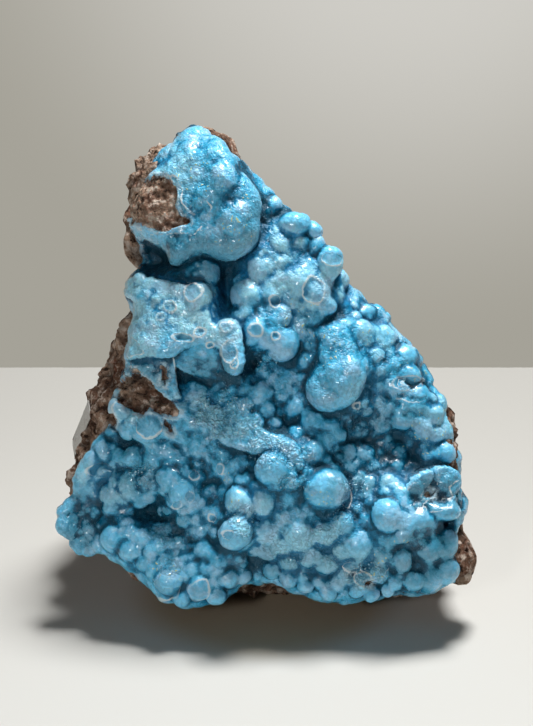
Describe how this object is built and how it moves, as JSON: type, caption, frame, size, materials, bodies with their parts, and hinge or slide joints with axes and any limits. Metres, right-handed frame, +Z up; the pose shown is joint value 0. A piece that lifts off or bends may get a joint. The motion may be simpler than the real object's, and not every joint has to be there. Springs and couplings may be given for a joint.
{
  "type": "botryoidal hemimorphite specimen on limonite matrix",
  "caption": "Free-standing mineral hand specimen: a blue crust of grown-together balls on the leaning face of a rough brown rock, with a small plain paper label.",
  "frame": {"origin": "bottom centre of the bounding box, on the flat cut under the matrix that the specimen stands on", "axes": "+Z up, -Y towards the viewer of the blue face, +X to that viewer's right"},
  "size_m": [0.1394, 0.1047, 0.1653],
  "materials": {
    "limonite": "rough, porous, earthy",
    "hemimorphite": "waxy to finely sparkling, slightly translucent",
    "label_paper": "matt, slightly soiled"
  },
  "bodies": {
    "root": {"limonite_matrix": "limonite", "hemimorphite_crust": "hemimorphite", "specimen_label": "label_paper"}
  },
  "joints": []
}
